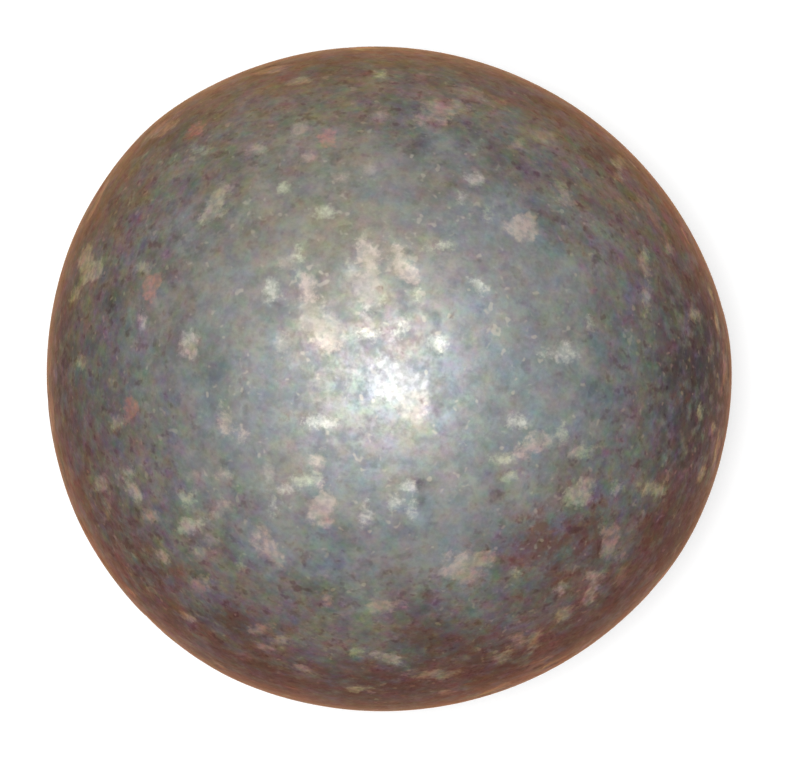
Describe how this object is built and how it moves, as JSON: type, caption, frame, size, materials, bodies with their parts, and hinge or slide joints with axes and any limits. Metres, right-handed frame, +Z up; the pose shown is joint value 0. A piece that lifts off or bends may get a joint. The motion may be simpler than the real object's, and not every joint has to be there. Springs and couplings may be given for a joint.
{
  "type": "forged steel ball",
  "caption": "Solid forged steel ball, slightly out of round, with a dark mill scale skin, shallow chips and light rust. A loose weight, stop or grinding ball.",
  "frame": {"origin": "middle of the ball, midway between its opposite sides", "axes": "+Z up through the side that shows most chips, +X along the long way through the ball, +Y along its short way, out through the broad pressed face"},
  "size_m": [0.061, 0.0592, 0.0603],
  "materials": {
    "scaled_steel": "dark grey-blue mill scale, satin, browning to rust, with pale chips"
  },
  "bodies": {
    "root": {"ball": "scaled_steel"}
  },
  "joints": []
}
